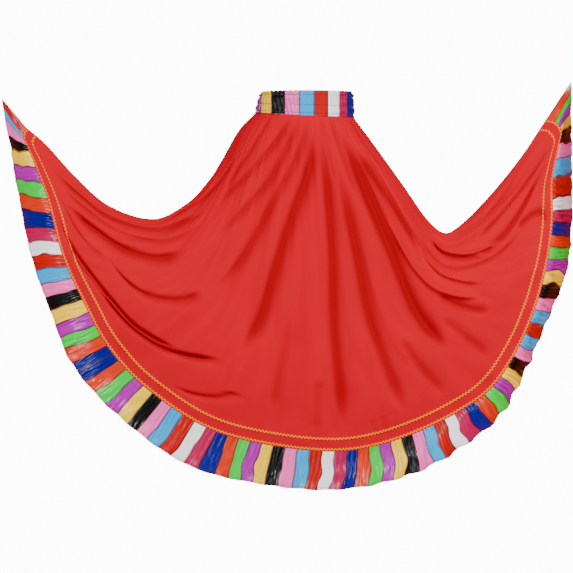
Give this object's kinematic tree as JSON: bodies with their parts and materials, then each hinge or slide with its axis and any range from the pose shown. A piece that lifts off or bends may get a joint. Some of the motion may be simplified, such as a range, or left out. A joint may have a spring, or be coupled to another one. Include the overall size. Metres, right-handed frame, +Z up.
{
  "type": "circle skirt",
  "caption": "Flared circle skirt with a shirred striped waistband and a gathered striped ruffle, hollow as worn, its hem held out at both sides.",
  "frame": {"origin": "centre of the waistband, inside the ring where the wearer's waist holds it", "axes": "+X to the right of the front view and along the longest extent, -Y the front, +Z up"},
  "size_m": [1.2548, 0.4084, 0.8919],
  "materials": {
    "red_jersey": "matt stretch jersey with a slight sheen",
    "striped_satin": "glossy satin with eleven crosswise colours",
    "golden_braid": "woven zigzag braid"
  },
  "bodies": {
    "root": {"waistband": "striped_satin", "front_panel": "red_jersey", "back_panel": "red_jersey", "ruffle_front": "striped_satin", "ruffle_right": "striped_satin", "ruffle_back": "striped_satin", "ruffle_left": "striped_satin", "ric_rac_lower_front": "golden_braid", "ric_rac_upper_front": "golden_braid", "ric_rac_lower_back": "golden_braid", "ric_rac_upper_back": "golden_braid"}
  },
  "joints": []
}
